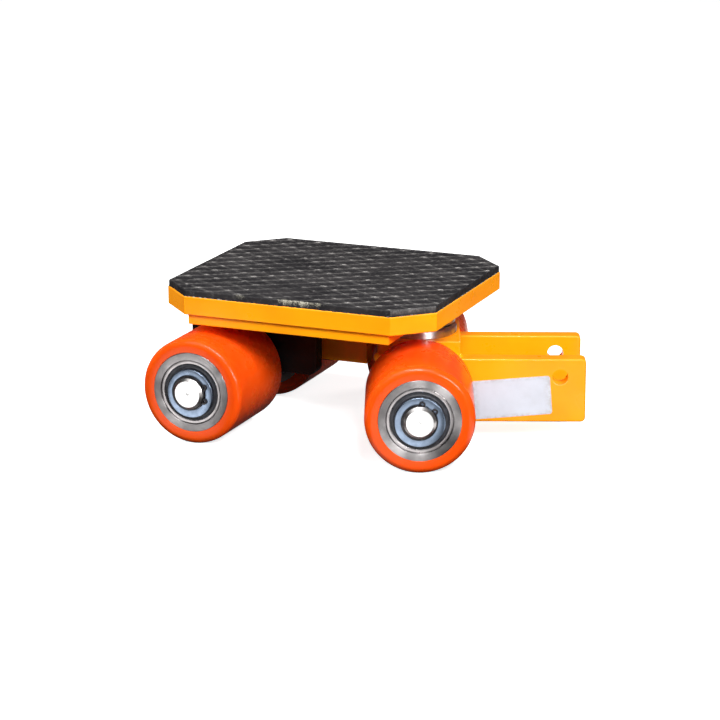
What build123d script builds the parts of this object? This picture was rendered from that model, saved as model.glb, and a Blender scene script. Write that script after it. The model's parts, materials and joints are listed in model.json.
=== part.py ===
from build123d import *
from math import cos, radians, sin
import os

os.makedirs("parts", exist_ok=True)

# Machine skate: an octagonal load deck on four rollers. The rear pair turns on an axle that is
# fixed under the deck, the front pair on a bogie that swivels on a kingpin and carries the
# drawbar clevis. All sizes are millimetres. +Z is up, the floor is z = 0, +X is straight ahead,
# and left is +Y. The bogie is modelled turned to the left by swivel degrees.

# Places along the skate
deck_x = -46.5
rear_x = -121.5
wheelbase = 147.5
pivot_x = rear_x + wheelbase
swivel = 21.5

# Rollers, their bearings and the axle end
roller_d = 85.0
roller_length = 85.0
axle_z = roller_d / 2
axle_r = 12.5
core_r = 32.0
core_bore_r = 22.0
shoulder_r = 5.5
bearing_r = 26.0
bearing_width = 15.0
bearing_recess = 1.0
bearing_edge = 0.9
outer_ring_r = 22.8
inner_ring_r = 17.0
seal_gap = 0.3
seal_recess = 0.6
seal_thickness = 1.4
spacer_length = 3.0
spacer_tube_r = 15.5
washer_r = 19.5
washer_thickness = 2.5
clip_thickness = 1.4
clip_groove_depth = 0.6
clip_width = 1.8
clip_lug_r = 2.5
clip_lug_angle = 48.0
clip_hole_r = 1.1
clip_gap = 5.0
axle_overhang = 3.4
axle_chamfer = 2.0

# Deck, rubber pad and the bars under the deck
deck_length = 230.0
deck_width = 200.0
deck_thickness = 15.0
corner_cut = 27.5
deck_edge_r = 1.0
pad_thickness = 5.0
pad_inset = 0.8
pad_edge_r = 1.0
rail_length = 170.0
rail_width = 40.0
rail_thickness = 8.0
rail_inset = 2.5
rail_edge_r = 0.8
cheek_thickness = 12.0
cheek_gap = 35.0
cheek_front_x = deck_x - 5.0
cheek_rear_x = deck_x - deck_length / 2
cheek_bottom_z = 41.0
cheek_corner_r = 6.5
lobe_r = 25.0
rib_thickness = 12.0
rib_front_x = deck_x + 29.5
rib_rear_x = rear_x + axle_r + 4.5
rib_bottom_z = 48.5

# Bogie, drawbar clevis and kingpin
arm_bottom_z = 16.0
arm_top_z = 67.5
arm_thickness = 14.0
arm_gap = 57.0
arm_rear = -34.0
arm_front = 131.5
arm_corner_r = 3.5
arm_edge_r = 1.4
pin_hole_r = 6.5
pin_hole_along = 111.0
pin_hole_z = 53.0
bogie_plate_length = 65.0
bogie_plate_width = 70.0
bogie_plate_thickness = 12.0
bogie_plate_edge_r = 0.8
bush_r = 18.0
kingpin_r = 15.0
kingpin_end_z = 58.5
running_gap = 0.05
keeper_r = 25.0
keeper_thickness = 3.0
keeper_gap = 0.2

# Thrust ball bearing between the bogie plate and the deck
thrust_r = 30.0
thrust_height = 21.0
race_thickness = 6.5
race_edge = 0.8
lower_race_bore_r = 16.0
ball_r = 5.5
ball_gap = 0.3
ball_circle_r = 22.5
ball_count = 10
cage_thickness = 3.0
cage_inner_r = 16.5
cage_outer_r = 28.8

# Heights and side positions that follow from the sizes above
bogie_top_z = arm_top_z + bogie_plate_thickness
deck_bottom_z = bogie_top_z + thrust_height
deck_top_z = deck_bottom_z + deck_thickness
ball_z = bogie_top_z + thrust_height / 2
cheek_face = cheek_gap / 2 + cheek_thickness
arm_face = arm_gap / 2 + arm_thickness
bearing_seat_depth = bearing_recess + bearing_width

# Turned frame of the bogie: its own straight-ahead and leftward directions
ahead = (cos(radians(swivel)), sin(radians(swivel)), 0)
leftward = (-sin(radians(swivel)), cos(radians(swivel)), 0)
rightward = (sin(radians(swivel)), -cos(radians(swivel)), 0)
bogie_top_view = Plane(origin=(pivot_x, 0, 0), x_dir=ahead, z_dir=(0, 0, 1))
bogie_side_view = Plane(origin=(pivot_x, 0, 0), x_dir=ahead, z_dir=rightward)
deck_side_view = Plane(origin=(0, 0, 0), x_dir=(1, 0, 0), z_dir=(0, -1, 0))
rear_axle_line = Plane(origin=(rear_x, 0, axle_z), x_dir=(1, 0, 0), z_dir=(0, 1, 0))
front_axle_line = Plane(origin=(pivot_x, 0, axle_z), x_dir=ahead, z_dir=leftward)
kingpin_line = Plane(origin=(pivot_x, 0, 0))


def save(piece, node):
    piece.part.label = node
    export_step(piece.part, f"parts/{node}.step")


def rings(line, inner_r, outer_r, spans, rim_chamfer=0):
    """Flat rings about a plane's normal, one for each (start, end) span along it."""
    with BuildPart() as group:
        for start, end in spans:
            with BuildSketch(line.offset(start)):
                Circle(outer_r)
                Circle(inner_r, mode=Mode.SUBTRACT)
            extrude(amount=end - start)
        if rim_chamfer:
            chamfer(group.edges().filter_by(GeomType.CIRCLE).group_by(SortBy.RADIUS)[-1], rim_chamfer)
    return group


def circlips(line, shaft_r, clips):
    """External retaining rings in their grooves, one for each (start, end, lug angle)."""
    seat_r = shaft_r - clip_groove_depth
    rim_r = seat_r + clip_width
    lug_circle_r = rim_r
    with BuildPart() as group:
        for start, end, lug_angle in clips:
            first_lug = lug_angle - clip_lug_angle / 2
            with BuildSketch(line.offset(start)):
                Circle(rim_r)
                with PolarLocations(lug_circle_r, 2, first_lug, clip_lug_angle, endpoint=True):
                    Circle(clip_lug_r)
                    Circle(clip_hole_r, mode=Mode.SUBTRACT)
                Circle(seat_r, mode=Mode.SUBTRACT)
                with PolarLocations(lug_circle_r, 1, lug_angle):
                    Rectangle(3 * clip_lug_r, clip_gap, mode=Mode.SUBTRACT)
            extrude(amount=end - start)
    return group


def shaft(line, radius, half_length, groove_start):
    """Plain axle with chamfered ends and one retaining ring groove near each end."""
    with BuildPart() as axle:
        with BuildSketch(line.offset(-half_length)):
            Circle(radius)
        extrude(amount=2 * half_length)
        chamfer(axle.edges(), axle_chamfer)
        for side in (1, -1):
            with BuildSketch(line.offset(side * groove_start)):
                Circle(radius)
                Circle(radius - clip_groove_depth, mode=Mode.SUBTRACT)
            extrude(amount=side * clip_thickness, mode=Mode.SUBTRACT)
    return axle


def roller(line, side, start, name):
    """One polyurethane roller: tread, steel core and the turning halves of two bearings."""
    near = side * start
    far = side * (start + roller_length)
    seats = [
        (near + side * bearing_recess, near + side * bearing_seat_depth),
        (far - side * bearing_seat_depth, far - side * bearing_recess),
    ]
    seal_spans = [
        (near + side * (bearing_recess + seal_recess), side * seal_thickness),
        (near + side * (bearing_seat_depth - seal_recess), -side * seal_thickness),
        (far - side * (bearing_seat_depth - seal_recess), side * seal_thickness),
        (far - side * (bearing_recess + seal_recess), -side * seal_thickness),
    ]

    with BuildPart() as tread:
        with BuildSketch(line.offset(near)):
            Circle(roller_d / 2)
            Circle(core_r, mode=Mode.SUBTRACT)
        extrude(amount=far - near)
        fillet(tread.edges().filter_by(GeomType.CIRCLE).group_by(SortBy.RADIUS)[-1], shoulder_r)
    save(tread, f"{name}_tread")

    with BuildPart() as core:
        with BuildSketch(line.offset(near)):
            Circle(core_r)
            Circle(core_bore_r, mode=Mode.SUBTRACT)
        extrude(amount=far - near)
        for mouth, depth in ((near, side * bearing_seat_depth), (far, -side * bearing_seat_depth)):
            with BuildSketch(line.offset(mouth)):
                Circle(bearing_r)
            extrude(amount=depth, mode=Mode.SUBTRACT)
    save(core, f"{name}_core")

    outer_rings = rings(line, outer_ring_r, bearing_r, seats, bearing_edge)
    save(outer_rings, f"{name}_bearing_outer_rings")

    seal_inner_r = inner_ring_r + seal_gap
    seals = rings(line, seal_inner_r, outer_ring_r, [(at, at + run) for at, run in seal_spans])
    save(seals, f"{name}_bearing_seals")


def axle_set(line, inner_face, right_lug, left_lug, name):
    """Axle with the pieces that stay still on it, and its two rollers."""
    start = inner_face + spacer_length - bearing_recess
    end = start + roller_length
    clip_at = end - bearing_recess + washer_thickness
    half_length = clip_at + clip_thickness + axle_overhang

    save(shaft(line, axle_r, half_length, clip_at), f"{name}_axle")

    spacers = []
    inner_rings = []
    tubes = []
    washers = []
    clips = []
    for side, lug_angle in ((-1, right_lug), (1, left_lug)):
        first_seat = start + bearing_recess
        last_seat = end - bearing_seat_depth
        spacers.append((side * inner_face, side * first_seat))
        inner_rings.append((side * first_seat, side * (first_seat + bearing_width)))
        inner_rings.append((side * last_seat, side * (last_seat + bearing_width)))
        tubes.append((side * (first_seat + bearing_width), side * last_seat))
        washers.append((side * (clip_at - washer_thickness), side * clip_at))
        clips.append((side * clip_at, side * (clip_at + clip_thickness), lug_angle))
    save(rings(line, axle_r, inner_ring_r, spacers), f"{name}_axle_spacers")
    save(rings(line, axle_r, inner_ring_r, inner_rings), f"{name}_bearing_inner_rings")
    save(rings(line, axle_r, spacer_tube_r, tubes), f"{name}_bearing_spacer_tubes")
    save(rings(line, axle_r, washer_r, washers), f"{name}_axle_washers")
    save(circlips(line, axle_r, clips), f"{name}_axle_circlips")

    roller(line, -1, start, f"{name}_right_roller")
    roller(line, 1, start, f"{name}_left_roller")


# Load deck: plate with cut corners, bored for the kingpin
with BuildPart() as deck_plate:
    with BuildSketch(Plane.XY.offset(deck_bottom_z)) as deck_outline:
        with Locations((deck_x, 0)):
            Rectangle(deck_length, deck_width)
        chamfer(deck_outline.vertices(), corner_cut)
    extrude(amount=deck_thickness)
    fillet(deck_plate.edges(), deck_edge_r)
    with BuildSketch(kingpin_line.offset(deck_bottom_z)):
        Circle(kingpin_r)
    extrude(amount=deck_thickness, mode=Mode.SUBTRACT)
save(deck_plate, "deck_plate")

# Rubber pad glued over the whole deck
with BuildPart() as deck_pad:
    with BuildSketch(Plane.XY.offset(deck_top_z)) as pad_outline:
        with Locations((deck_x, 0)):
            Rectangle(deck_length, deck_width)
        chamfer(pad_outline.vertices(), corner_cut)
        offset(amount=-pad_inset)
    extrude(amount=pad_thickness)
    fillet(deck_pad.faces().sort_by(Axis.Z)[-1].edges(), pad_edge_r)
save(deck_pad, "deck_pad")

# Flat bars welded under the deck's two long edges
rail_y = deck_width / 2 - rail_inset - rail_width / 2
for node, y in (("right_side_rail", -rail_y), ("left_side_rail", rail_y)):
    with BuildPart() as rail:
        with BuildSketch(Plane.XY.offset(deck_bottom_z)):
            with Locations((deck_x, y)):
                Rectangle(rail_length, rail_width)
        extrude(amount=-rail_thickness)
        fillet(rail.faces().sort_by(Axis.Z)[0].edges(), rail_edge_r)
    save(rail, node)

# Rear cheeks: profile-cut plates with a lobe round the axle
cheek_length = cheek_front_x - cheek_rear_x
cheek_height = deck_bottom_z - cheek_bottom_z
cheek_centre = ((cheek_front_x + cheek_rear_x) / 2, cheek_bottom_z + cheek_height / 2)
for node, inner_y in (("right_rear_cheek", -cheek_gap / 2), ("left_rear_cheek", cheek_gap / 2)):
    outward = 1 if inner_y < 0 else -1
    with BuildPart() as cheek:
        with BuildSketch(deck_side_view.offset(-inner_y)) as cheek_outline:
            with Locations(cheek_centre):
                Rectangle(cheek_length, cheek_height)
            with Locations((rear_x, axle_z)):
                Circle(lobe_r)
            fillet(cheek_outline.vertices().group_by(Axis.Z)[0], cheek_corner_r)
            with Locations((rear_x, axle_z)):
                Circle(axle_r, mode=Mode.SUBTRACT)
        extrude(amount=outward * cheek_thickness)
    save(cheek, node)

# Centre rib from the rear axle to just short of the swivelling bogie
with BuildPart() as centre_rib:
    with BuildSketch(deck_side_view):
        with Locations(((rib_front_x + rib_rear_x) / 2, (rib_bottom_z + deck_bottom_z) / 2)):
            Rectangle(rib_front_x - rib_rear_x, deck_bottom_z - rib_bottom_z)
    extrude(amount=rib_thickness / 2, both=True)
save(centre_rib, "centre_rib")

# Kingpin pressed into the deck, with the keeper washer and ring that hold the bogie on
keeper_top_z = arm_top_z - keeper_gap
keeper_bottom_z = keeper_top_z - keeper_thickness
king_clip_z = keeper_bottom_z - clip_thickness
with BuildPart() as kingpin:
    with BuildSketch(kingpin_line.offset(kingpin_end_z)):
        Circle(kingpin_r)
    extrude(amount=deck_top_z - kingpin_end_z)
    chamfer(kingpin.edges().sort_by(Axis.Z)[0], axle_chamfer)
    with BuildSketch(kingpin_line.offset(king_clip_z)):
        Circle(kingpin_r)
        Circle(kingpin_r - clip_groove_depth, mode=Mode.SUBTRACT)
    extrude(amount=clip_thickness, mode=Mode.SUBTRACT)
save(kingpin, "kingpin")
save(rings(kingpin_line, kingpin_r, keeper_r, [(keeper_bottom_z, keeper_top_z)]), "kingpin_washer")
save(circlips(kingpin_line, kingpin_r, [(king_clip_z, keeper_bottom_z, -90)]), "kingpin_circlip")

# Thrust bearing: two grooved races, the balls and their cage
races = (
    ("thrust_upper_race", kingpin_r, deck_bottom_z - race_thickness),
    ("thrust_lower_race", lower_race_bore_r, bogie_top_z),
)
for node, bore_r, race_z in races:
    with BuildPart() as race:
        with BuildSketch(kingpin_line.offset(race_z)):
            Circle(thrust_r)
            Circle(bore_r, mode=Mode.SUBTRACT)
        extrude(amount=race_thickness)
        chamfer(race.edges().filter_by(GeomType.CIRCLE).group_by(SortBy.RADIUS)[-1], race_edge)
        with Locations((pivot_x, 0, ball_z)):
            Torus(ball_circle_r, ball_r + ball_gap, mode=Mode.SUBTRACT)
    save(race, node)

with BuildPart() as thrust_balls:
    with Locations((pivot_x, 0, ball_z)):
        with PolarLocations(ball_circle_r, ball_count):
            Sphere(ball_r)
save(thrust_balls, "thrust_balls")

with BuildPart() as thrust_cage:
    with BuildSketch(kingpin_line.offset(ball_z)):
        Circle(cage_outer_r)
        Circle(cage_inner_r, mode=Mode.SUBTRACT)
        with PolarLocations(ball_circle_r, ball_count):
            Circle(ball_r + ball_gap, mode=Mode.SUBTRACT)
    extrude(amount=cage_thickness / 2, both=True)
save(thrust_cage, "thrust_cage")

# Bogie plate on the two arms, with its bronze bush
with BuildPart() as bogie_plate:
    with BuildSketch(bogie_top_view.offset(arm_top_z)):
        Rectangle(bogie_plate_length, bogie_plate_width)
        Circle(bush_r, mode=Mode.SUBTRACT)
    extrude(amount=bogie_plate_thickness)
    fillet(bogie_plate.edges().filter_by(GeomType.LINE), bogie_plate_edge_r)
save(bogie_plate, "bogie_plate")
bush_span = [(arm_top_z, bogie_top_z)]
save(rings(kingpin_line, kingpin_r + running_gap, bush_r, bush_span), "kingpin_bush")

# Arms: flat bars that carry the front axle and run forward as the drawbar clevis
arm_centre = ((arm_rear + arm_front) / 2, (arm_bottom_z + arm_top_z) / 2)
for node, inner_side in (("right_drawbar_arm", arm_gap / 2), ("left_drawbar_arm", -arm_gap / 2)):
    outward = 1 if inner_side > 0 else -1
    with BuildPart() as arm:
        with BuildSketch(bogie_side_view.offset(inner_side)):
            with Locations(arm_centre):
                RectangleRounded(arm_front - arm_rear, arm_top_z - arm_bottom_z, arm_corner_r)
        extrude(amount=outward * arm_thickness)
        fillet(arm.edges().filter_by(bogie_side_view), arm_edge_r)
        with BuildSketch(bogie_side_view.offset(inner_side)):
            with Locations((0, axle_z)):
                Circle(axle_r)
            with Locations((pin_hole_along, pin_hole_z)):
                Circle(pin_hole_r)
        extrude(amount=outward * arm_thickness, mode=Mode.SUBTRACT)
    save(arm, node)

# Rear and front axle sets; lug angles run clockwise from straight ahead, seen from the right
axle_set(rear_axle_line, cheek_face, 0, 200, "rear")
axle_set(front_axle_line, arm_face, -59, 150, "front")
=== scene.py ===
# %% [markdown]
# # Dressing a machine skate
#
# A machine skate is a low trolley that goes under one corner of a heavy machine. This one has an
# eight-sided steel deck with a rubber pad, two rollers on a fixed axle at the back, and two more on
# a bogie that swivels under a thrust bearing and runs forward as the drawbar clevis.
# The solids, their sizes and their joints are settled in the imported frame. This lesson gives every
# piece its finish, and makes a finer surface for the pieces that the solids only sketch.

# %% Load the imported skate
import json

import bmesh
import bpy
import numpy as np
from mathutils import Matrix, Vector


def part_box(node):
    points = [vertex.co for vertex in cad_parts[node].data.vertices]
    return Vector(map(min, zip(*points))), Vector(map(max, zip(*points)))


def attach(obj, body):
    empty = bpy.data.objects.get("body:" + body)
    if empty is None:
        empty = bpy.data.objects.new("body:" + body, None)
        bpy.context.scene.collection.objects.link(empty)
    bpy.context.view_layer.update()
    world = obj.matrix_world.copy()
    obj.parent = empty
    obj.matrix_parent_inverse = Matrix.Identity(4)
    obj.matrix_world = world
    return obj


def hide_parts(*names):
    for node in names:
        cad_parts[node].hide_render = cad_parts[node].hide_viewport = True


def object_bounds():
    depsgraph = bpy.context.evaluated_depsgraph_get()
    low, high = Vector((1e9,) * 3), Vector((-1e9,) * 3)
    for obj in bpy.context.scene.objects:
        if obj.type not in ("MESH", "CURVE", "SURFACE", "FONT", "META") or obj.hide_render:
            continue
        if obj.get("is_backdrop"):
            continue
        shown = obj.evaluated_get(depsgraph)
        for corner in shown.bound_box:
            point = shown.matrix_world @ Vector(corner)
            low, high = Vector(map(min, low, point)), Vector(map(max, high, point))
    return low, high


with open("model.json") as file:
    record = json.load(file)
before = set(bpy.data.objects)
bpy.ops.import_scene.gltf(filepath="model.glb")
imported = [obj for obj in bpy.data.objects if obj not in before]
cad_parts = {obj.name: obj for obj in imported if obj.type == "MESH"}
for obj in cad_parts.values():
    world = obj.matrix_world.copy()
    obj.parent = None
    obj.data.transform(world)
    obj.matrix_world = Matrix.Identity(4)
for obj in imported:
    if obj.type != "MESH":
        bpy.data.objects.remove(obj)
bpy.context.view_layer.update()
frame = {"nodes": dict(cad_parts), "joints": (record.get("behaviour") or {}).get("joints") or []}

mm = 0.001

# %% [markdown]
# The sizes of the solids are read from the frame, so a new size carries through. A line is a point
# and a direction: the two axle lines run from right to left, and the kingpin line runs up.

# %% Lines that the pieces turn about
joints = {joint["name"]: joint for joint in frame["joints"]}
up = np.array([0.0, 0.0, 1.0])


def joint_line(name):
    """The axis of a joint, as its point and its unit direction."""
    joint = joints[name]
    return np.array(joint["pos_m"], float), np.array(joint["axis"], float)


axle_lines = {
    "rear": joint_line("rear_right_roller_spin"),
    "front": joint_line("front_right_roller_spin"),
}
kingpin_line = joint_line("bogie_swivel")
pivot, bogie_left = kingpin_line[0], axle_lines["front"][1]
bogie_ahead = np.cross(bogie_left, up)
swivel = np.arctan2(bogie_ahead[1], bogie_ahead[0])
print("the bogie is turned", round(float(np.degrees(swivel)), 1), "degrees to the left")

# %% Measuring a node


def node_points(node):
    """Every corner point of one CAD node, one row each."""
    mesh = frame["nodes"][node].data
    points = np.empty(3 * len(mesh.vertices))
    mesh.vertices.foreach_get("co", points)
    return points.reshape(-1, 3)


def ring_sizes(node, line, side=0):
    """Start, end, inner and outer radius of a turned node on its line. Side -1 keeps the half of
    the node that is right of the line's point, and 1 the half that is left of it."""
    origin, axis = line
    offsets = node_points(node) - origin
    along = offsets @ axis
    radius = np.linalg.norm(offsets - np.outer(along, axis), axis=1)
    kept = along * side >= 0
    return along[kept].min(), along[kept].max(), radius[kept].min(), radius[kept].max()


def spans(node, ahead, left, origin):
    """Lowest and highest reach of a node ahead, to the left and up, measured from a point."""
    offsets = (node_points(node) - origin) @ np.stack([ahead, left, up], axis=1)
    return offsets.min(axis=0), offsets.max(axis=0)


tread_sizes = ring_sizes("rear_right_roller_tread", axle_lines["rear"])
print("rear right tread, mm:", [round(float(v / mm), 2) for v in tread_sizes])

# %% [markdown]
# ## Stage
#
# The camera stands where the photographer stood: to the right of the skate, ahead of it and a
# little above. Its place was worked out from the deck's corners and the roller rims. A long lens
# keeps the lines calm. The camera comes first, because every later choice is looked at through it.

# %% Camera
camera_place = np.array([774.85, -1941.93, 633.97]) * mm
camera_yaw = np.radians(22.394)
camera_pitch = np.radians(15.558)
camera_lens = 134.351


def put(name, data):
    """A new object in the scene, at the origin."""
    made = bpy.data.objects.new(name, data)
    bpy.context.scene.collection.objects.link(made)
    return made


camera_data = bpy.data.cameras.new("camera")
camera_data.lens = camera_lens
camera_data.sensor_width = 36.0
camera = put("camera", camera_data)
camera.location = camera_place
camera.rotation_euler = (np.pi / 2 - camera_pitch, 0, camera_yaw)
bpy.context.scene.camera = camera
print("camera to kingpin, m:", round(float(np.linalg.norm(camera_place - pivot)), 3))

# %% [markdown]
# A shader is a small graph of nodes. Writing each node out takes many lines, so one helper adds a
# node, sets its values and links its inputs in a single call.

# %% Node helper


def add(tree, kind, inputs=None, **settings):
    """Adds one shader node. Settings are its own options. Each input is a value, or the output of
    another node that is linked to it."""
    made = tree.nodes.new("ShaderNode" + kind)
    for key, value in settings.items():
        setattr(made, key, value)
    for key, value in (inputs or {}).items():
        if isinstance(value, bpy.types.NodeSocket):
            tree.links.new(value, made.inputs[key])
        else:
            made.inputs[key].default_value = value
    return made


def calc(tree, operation, first, second=0.0, clamp=False):
    """One sum of two numbers or outputs."""
    return add(tree, "Math", {0: first, 1: second}, operation=operation, use_clamp=clamp).outputs[0]


def times(tree, first, second):
    """A product of two numbers or outputs."""
    return calc(tree, "MULTIPLY", first, second)


def ray_kinds(tree):
    """Whether a ray comes from the camera, and whether it comes off a mirror or through glass."""
    rays = add(tree, "LightPath").outputs
    mirror = calc(tree, "ADD", rays["Is Glossy Ray"], rays["Is Transmission Ray"], True)
    return rays["Is Camera Ray"], mirror


# %% [markdown]
# The backdrop is white for rays that come from the camera, and dim for everything else. A studio is
# mostly dark: gloss paint in it keeps a deep colour, and steel shows soft boxes against black. The
# little light that comes from all round only opens the deepest shade.

# %% White surroundings
white = (1, 1, 1, 1)
world = bpy.data.worlds.new("studio")
bpy.context.scene.world = world
world.use_nodes = True
sky = world.node_tree
sky.nodes.clear()
soft_level = 0.067
room_level = 0.08
seen, mirror = ray_kinds(sky)
room = calc(sky, "MAXIMUM", times(sky, mirror, room_level), soft_level)
level = calc(sky, "MAXIMUM", seen, room)
backdrop = add(sky, "Background", {"Color": white, "Strength": level})
add(sky, "OutputWorld", {"Surface": backdrop.outputs[0]})
bpy.context.scene.view_settings.view_transform = "Standard"
print("soft light level", soft_level, "and level in reflections", room_level)

# %% [markdown]
# The floor is a pale sheet. Reflections see pools of light on it, one in front of each near roller,
# one in front of the drawbar arm and one behind the skate, and a dark sheet everywhere else. The low
# upright faces mirror the pools, and the deck above them mirrors the dark part. The front pools are
# narrow strips that run the way the mirrored rays run, so the turned steel is bright above and below
# its middle and darker at its sides. The floor gives almost no light back, which keeps the hollow
# under the deck dark. Each pool has a middle, a slant, two half sizes and a level.

# %% Floor
floor_half = 6.0
floor_drop = 0.05 * mm
pool_fade, sheet_level, lift_level = (0.022, 0.04), 0.05, 0.80
pale_grey, dark_grey = (0.80, 0.80, 0.80, 1), (0.06, 0.06, 0.06, 1)
pools = (
    ((-0.220, -0.31), 0.479, (0.021, 0.15), 2.8),
    ((0.120, -0.31), -0.405, (0.032, 0.15), 2.4),
    ((0.212, -0.14), -0.420, (0.045, 0.075), 3.0),
    ((-0.080, 0.28), 0.0, (0.200, 0.10), 1.2),
)
floor_mesh = bpy.data.meshes.new("floor")
corners = np.array([(-1, -1), (1, -1), (1, 1), (-1, 1)]) * floor_half
floor_mesh.from_pydata(np.c_[corners, np.full(4, -floor_drop)].tolist(), [], [(0, 1, 2, 3)])
floor = put("floor", floor_mesh)
floor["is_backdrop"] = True

# %% Paint of the floor
floor_paint = bpy.data.materials.new("pale_floor")
floor_paint.use_nodes = True
tree = floor_paint.node_tree
tree.nodes.clear()
seen, mirror = ray_kinds(tree)
spot = add(tree, "SeparateXYZ", {0: add(tree, "TexCoord").outputs["Object"]})
sheet = sheet_level
for middle, slant, halves, level in pools:
    across, along = (calc(tree, "SUBTRACT", spot.outputs[k], middle[k]) for k in (0, 1))
    across = calc(tree, "SUBTRACT", across, times(tree, along, slant))
    pool = level
    for place, half, fade in zip((across, along), halves, pool_fade):
        away = calc(tree, "ABSOLUTE", place)
        inside = add(tree, "MapRange", {0: away, 1: half, 2: half + fade, 3: 1.0, 4: 0.0}).outputs[0]
        pool = times(tree, inside, pool)
    sheet = calc(tree, "MAXIMUM", pool, sheet)
pale = add(tree, "BsdfDiffuse", {"Color": pale_grey})
lift = add(tree, "Emission", {"Color": white, "Strength": lift_level})
shown = add(tree, "AddShader", {0: pale.outputs[0], 1: lift.outputs[0]})
dark = add(tree, "BsdfDiffuse", {"Color": dark_grey})
gleam = add(tree, "Emission", {"Color": white, "Strength": sheet})
both = add(tree, "MixShader", {0: mirror, 1: dark.outputs[0], 2: gleam.outputs[0]})
both = add(tree, "MixShader", {0: seen, 1: both.outputs[0], 2: shown.outputs[0]})
add(tree, "OutputMaterial", {"Surface": both.outputs[0]})
floor_mesh.materials.append(floor_paint)
print("floor with", len(pools), "pools of light")

# %% [markdown]
# A large key light stands to the right of the camera, high enough for the deck to throw its shadow
# over the rear rollers. A weak lamp near the camera lights the rail under the deck's lip, a wide fill
# stands far round on the left, and a small lamp behind the skate gives the far roller its rim. These
# four are kept out of reflections, and the other boxes are there for gloss alone. Two narrow ones,
# long and slanted, draw the two bright arcs on each roller shoulder, and a wide dim ceiling gives the
# steel something pale to mirror. Each lamp has an azimuth, an elevation, a distance, a length, a
# width, a roll and a power.

# %% Lights
soft_boxes = {
    "key": (40.0, 40.0, 1.7, 0.66, 0.66, 0.0, 47.0),
    "front": (8.0, 26.0, 2.2, 0.90, 0.20, 0.0, 9.5),
    "fill": (-90.0, 28.0, 2.0, 0.90, 0.90, 0.0, 44.0),
    "glint_high": (16.0, 55.0, 1.7, 0.80, 0.22, 40.0, 24.0),
    "glint_low": (51.0, 17.5, 1.7, 0.60, 0.22, 40.0, 18.0),
    "ceiling": (0.0, 55.0, 2.0, 2.40, 1.30, 0.0, 28.0),
    "rim": (158.0, 14.0, 1.6, 0.60, 0.40, 0.0, 13.5),
}
aim = np.array([-20.0, 0.0, 60.0]) * mm
for name, (azimuth, elevation, away, long, wide, roll, watts) in soft_boxes.items():
    turn, rise = np.radians(azimuth), np.radians(elevation)
    out = Vector((np.sin(turn) * np.cos(rise), -np.cos(turn) * np.cos(rise), np.sin(rise)))
    lamp_data = bpy.data.lights.new(name, "AREA")
    lamp_data.shape = "RECTANGLE"
    lamp_data.size, lamp_data.size_y = long, wide
    lamp_data.energy = watts
    lamp = put(name, lamp_data)
    lamp.location = Vector(aim) + out * away
    lamp.rotation_euler = (np.pi / 2 - rise, 0, turn)
    lamp.rotation_euler.rotate_axis("Z", -np.radians(roll))
    lamp.visible_diffuse = name in ("key", "front", "fill", "rim")
    lamp.visible_glossy = not lamp.visible_diffuse
print("soft boxes:", ", ".join(soft_boxes))

# %% [markdown]
# ## From a grid of points to a piece
#
# Every new surface here is a table of points with rows and columns, worked out in one go with
# numpy. Each little square of four neighbours becomes a face. A piece may need several such grids,
# for instance the rim of a plate and its two faces. They are stacked, the points where they meet
# are merged, and all faces are turned outwards.

# %% Grid helper


def patch(points, wrap_rows=False, wrap_columns=False, **values):
    """A grid of points with shape (rows, columns, 3). A wrapped direction closes on itself. Each
    named value is a number for every point, or one number for all, kept as an attribute."""
    points = np.asarray(points, float)
    rows, columns = points.shape[:2]
    row, column = np.meshgrid(
        np.arange(rows if wrap_rows else rows - 1),
        np.arange(columns if wrap_columns else columns - 1),
        indexing="ij",
    )
    next_row, next_column = (row + 1) % rows, (column + 1) % columns
    ring = [(row, column), (row, next_column), (next_row, next_column), (next_row, column)]
    faces = np.stack([r * columns + c for r, c in ring], axis=-1).reshape(-1, 4)
    around = np.stack([column, column + 1, column + 1, column], axis=-1) / columns
    across = np.stack([row, row, row + 1, row + 1], axis=-1) / rows
    uv = np.stack([around, across], axis=-1).reshape(-1, 2)
    spread = {key: np.broadcast_to(value, (rows, columns)).ravel() for key, value in values.items()}
    return {"points": points.reshape(-1, 3), "faces": faces, "uv": uv, "values": spread}


# %% Piece helper
merge_gap = 0.002 * mm


def make_piece(name, patches, body, material, stands_for=(), sharp=40.0):
    """One closed piece from its grids, riding on a body and standing for CAD nodes."""
    firsts = np.cumsum([0] + [len(p["points"]) for p in patches])
    faces = np.concatenate([p["faces"] + first for p, first in zip(patches, firsts)])
    mesh = bpy.data.meshes.new(name)
    mesh.from_pydata(np.concatenate([p["points"] for p in patches]).tolist(), [], faces.tolist())
    mesh.uv_layers.new(name="UVMap")
    uv = np.concatenate([p["uv"] for p in patches])
    mesh.uv_layers["UVMap"].data.foreach_set("uv", uv.ravel())
    for key in sorted({key for p in patches for key in p["values"]}):
        value = [p["values"].get(key, np.zeros(len(p["points"]))) for p in patches]
        attribute = mesh.attributes.new(key, "FLOAT", "POINT")
        attribute.data.foreach_set("value", np.concatenate(value).astype(np.float32))
    welded = bmesh.new()
    welded.from_mesh(mesh)
    bmesh.ops.remove_doubles(welded, verts=welded.verts, dist=merge_gap)
    bmesh.ops.recalc_face_normals(welded, faces=welded.faces)
    open_edges = sum(1 for edge in welded.edges if len(edge.link_faces) != 2)
    welded.to_mesh(mesh)
    welded.free()
    mesh.polygons.foreach_set("use_smooth", np.ones(len(mesh.polygons), bool))
    mesh.set_sharp_from_angle(angle=np.radians(sharp))
    mesh.materials.append(material)
    piece = put(name, mesh)
    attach(piece, body)
    if stands_for:
        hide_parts(*stands_for)
    print(name, len(mesh.polygons), "faces,", open_edges, "open edges")


# %% [markdown]
# Steel is never cut to a knife edge. One helper rounds the corners of any closed outline, and the
# same helper serves for the section of a turned ring and for the plan of a plate.

# %% Rounded outlines


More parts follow.
